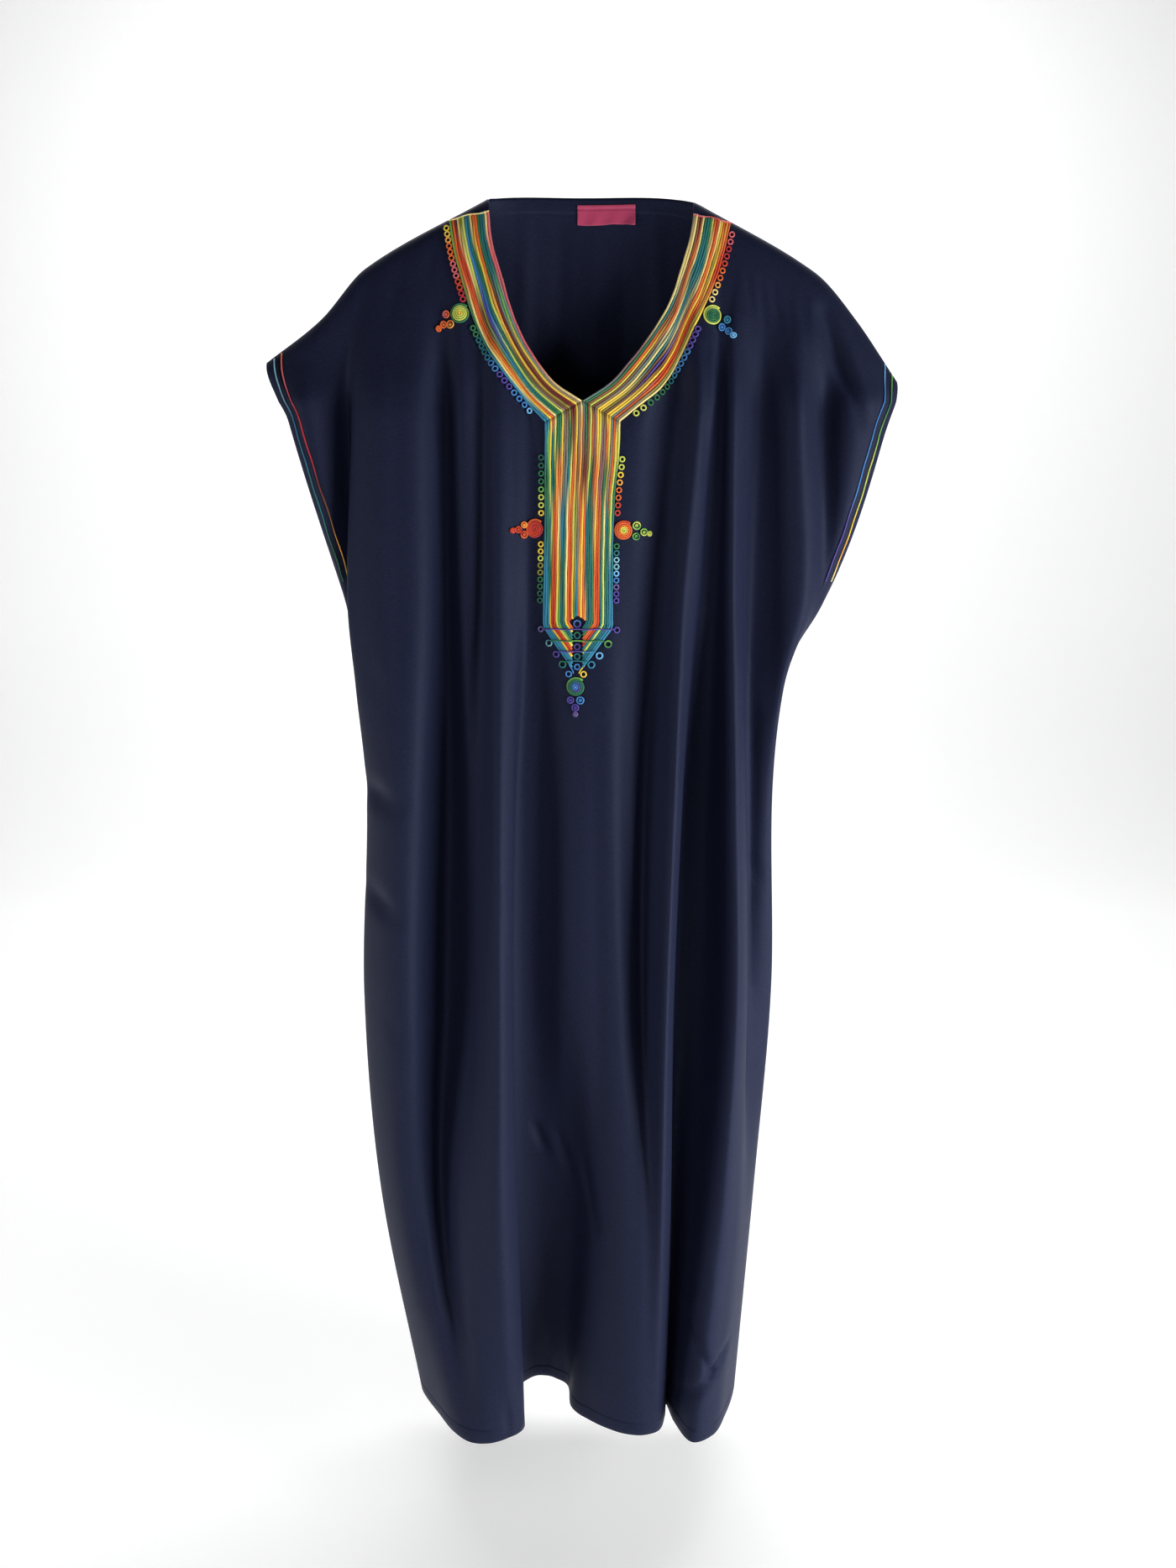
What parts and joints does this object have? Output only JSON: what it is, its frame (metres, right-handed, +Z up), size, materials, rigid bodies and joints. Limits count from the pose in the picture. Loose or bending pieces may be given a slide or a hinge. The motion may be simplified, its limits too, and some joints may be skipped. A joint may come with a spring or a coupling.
{
  "type": "kaftan",
  "caption": "Long kaftan with short cut-on sleeves, a V neck and a placket of couched multicoloured cords, hanging hollow in soft vertical folds.",
  "frame": {"origin": "between the shoulders, in the plane of the shoulder seams, at the height of the neck corners, where the wearer or a hanger holds the garment up", "axes": "+Z up the garment, the front faces -Y, +X towards the side on the viewer's right when seen from the front"},
  "size_m": [0.6611, 0.2338, 1.3572],
  "materials": {
    "navy_crepe": "soft low sheen",
    "couched_cord": "silky twisted cord in changing colours",
    "sleeve_braid": "silky thin cord in changing colours",
    "label_cloth": "smooth satin ribbon"
  },
  "bodies": {
    "root": {"front": "navy_crepe", "back": "navy_crepe", "collar_left": "couched_cord", "collar_right": "couched_cord", "placket": "couched_cord", "medallion_collar_left": "couched_cord", "medallion_collar_right": "couched_cord", "medallion_placket_left": "couched_cord", "medallion_placket_right": "couched_cord", "medallion_point": "couched_cord", "braid_front_left": "sleeve_braid", "braid_front_right": "sleeve_braid", "braid_back_left": "sleeve_braid", "braid_back_right": "sleeve_braid", "neck_label": "label_cloth"}
  },
  "joints": []
}
